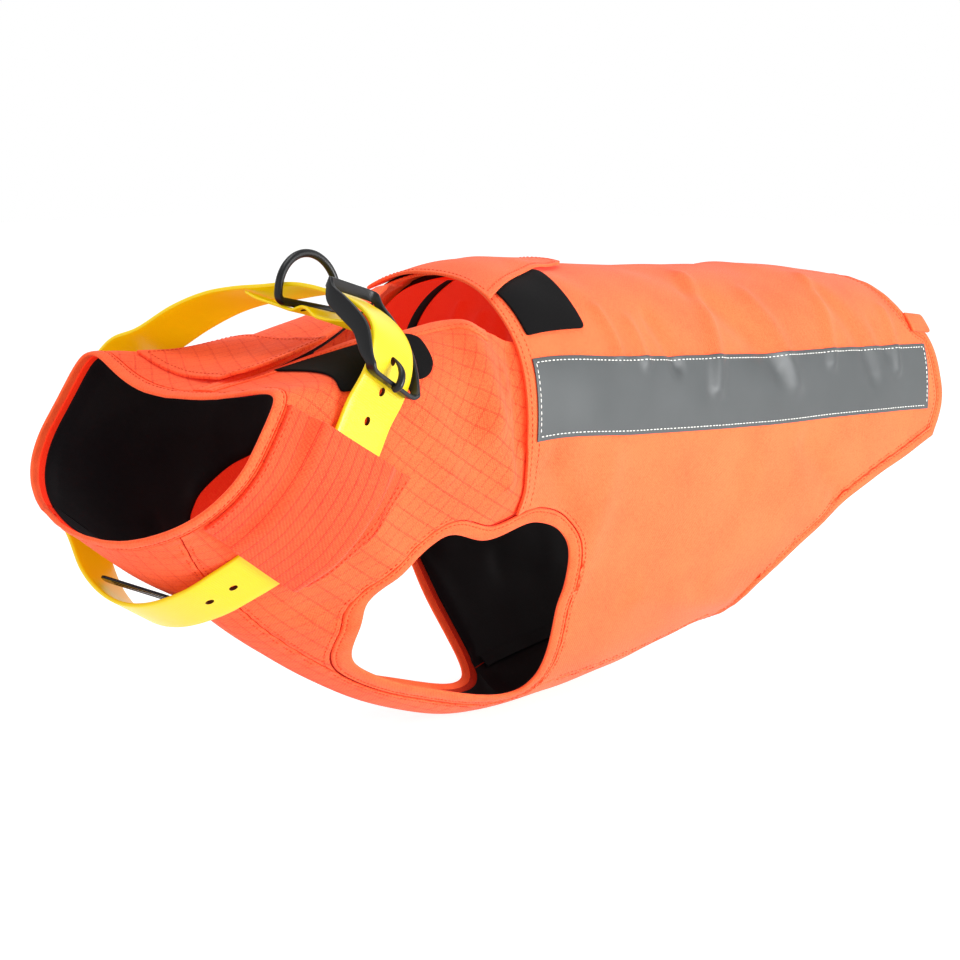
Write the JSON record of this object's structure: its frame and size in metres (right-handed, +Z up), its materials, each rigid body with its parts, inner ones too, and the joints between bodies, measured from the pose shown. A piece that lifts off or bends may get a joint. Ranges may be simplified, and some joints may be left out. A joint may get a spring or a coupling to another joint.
{
  "type": "dog vest",
  "caption": "High-visibility dog vest in orange cloth with a reflective tape on each side, hook-and-loop flaps and a yellow neck belt with buckle and D-ring.",
  "frame": {"origin": "On the inner face of the saddle's lining at the spine, 90 mm behind its front edge, where the wearer's back carries the vest", "axes": "+X from the wearer's head to its tail, +Y from the wearer's left to its right, +Z up"},
  "size_m": [0.7463, 0.206, 0.3108],
  "materials": {
    "orange_cloth": "matt woven polyester in fluorescent orange",
    "ripstop_cloth": "matt ripstop nylon in fluorescent orange",
    "hem_cloth": "turned and stitched orange cloth",
    "lining_cloth": "smooth black lining",
    "reflective_tape": "glass-bead reflective tape with a fine mesh",
    "loop_patch": "napped black loop tape",
    "belt_coating": "yellow coated webbing with a soft sheen",
    "hardware": "dark grey satin coating"
  },
  "bodies": {
    "vest": {"saddle": "orange_cloth", "belly_panel": "orange_cloth", "dorsal_flap": "orange_cloth", "shoulder_left": "ripstop_cloth", "shoulder_right": "ripstop_cloth", "chest_panel": "ripstop_cloth", "collar_flap_left": "ripstop_cloth", "collar_flap_right": "ripstop_cloth", "nape_tab": "ripstop_cloth", "neck_hem": "hem_cloth", "leg_hem_left": "hem_cloth", "leg_hem_right": "hem_cloth", "rear_hem": "hem_cloth", "lining_saddle": "lining_cloth", "lining_shoulder_left": "lining_cloth", "lining_shoulder_right": "lining_cloth", "lining_chest": "lining_cloth", "lining_belly": "lining_cloth", "tape_left": "reflective_tape", "tape_right": "reflective_tape", "back_patch_left": "loop_patch", "back_patch_right": "loop_patch", "neck_patch": "loop_patch", "belt": "belt_coating", "belt_fold": "belt_coating", "rear_tab": "orange_cloth", "buckle": "hardware", "buckle_prong": "hardware", "throat_slide": "hardware"},
    "ring": {"d_ring": "hardware"}
  },
  "joints": [
    {"name": "ring_swing", "type": "hinge", "parent": "vest", "child": "ring", "pos_m": [-0.21248, -0.02121, -0.00702], "axis": [0.9789, 0.0331, -0.2017], "range_deg": [-25, 35]}
  ]
}
